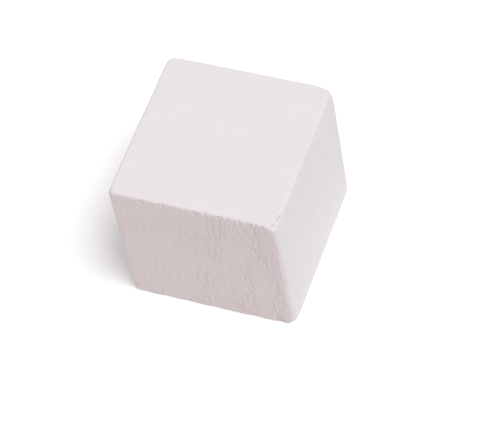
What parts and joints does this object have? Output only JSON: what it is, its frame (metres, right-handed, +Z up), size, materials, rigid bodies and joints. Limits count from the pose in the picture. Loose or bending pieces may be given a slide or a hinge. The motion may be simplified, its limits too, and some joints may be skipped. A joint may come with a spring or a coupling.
{
  "type": "wooden cube",
  "caption": "Solid wooden craft cube with eased edges and worn corners, painted matt white; a plain block for crafts, counting, stacking and spacing on a desk or bench.",
  "frame": {"origin": "middle of the underside, on the surface the cube stands on", "axes": "+Z up to the top face; Y along the grain, so the faces across Y are the sawn end grain; X across the stick, with the most worn corner at +X, +Y, +Z"},
  "size_m": [0.03, 0.03, 0.03],
  "materials": {
    "painted_wood": "matt white paint over sanded hardwood, rougher on the sawn end grain"
  },
  "bodies": {
    "root": {"wooden_cube": "painted_wood"}
  },
  "joints": []
}
